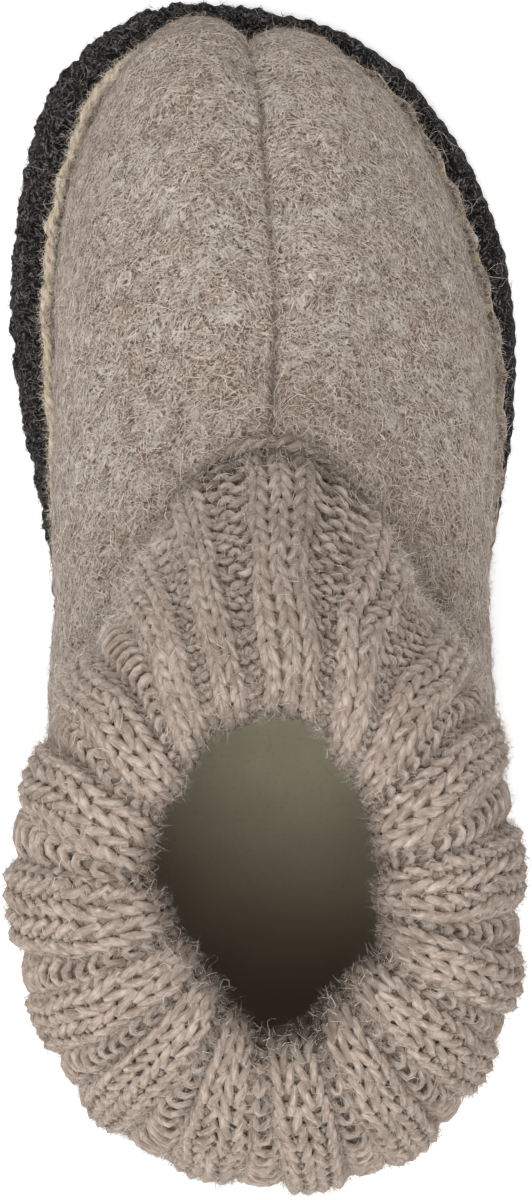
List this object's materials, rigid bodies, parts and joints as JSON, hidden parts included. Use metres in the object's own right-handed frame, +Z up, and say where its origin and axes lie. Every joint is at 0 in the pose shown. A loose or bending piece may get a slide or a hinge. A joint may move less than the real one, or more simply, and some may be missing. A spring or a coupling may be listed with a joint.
{
  "type": "slipper",
  "caption": "Closed house slipper in boiled wool with a centre seam, a flat felt sole, an insole and a ribbed knit cuff that draws in around the ankle.",
  "frame": {"origin": "on the flat underside of the sole, under the middle of the shoe", "axes": "+Y to the toe, +X to the outer (little-toe) side of this right shoe, +Z up"},
  "size_m": [0.0742, 0.1708, 0.086],
  "materials": {
    "outsole": "dense black wool felt",
    "insole": "smooth olive-grey felt",
    "upper": "greige boiled wool with fine fuzz",
    "ribbed_cuff": "greige wool knitted in a two-by-two rib"
  },
  "bodies": {
    "root": {"outsole": "outsole", "insole": "insole", "upper": "upper", "ribbed_cuff": "ribbed_cuff"}
  },
  "joints": []
}
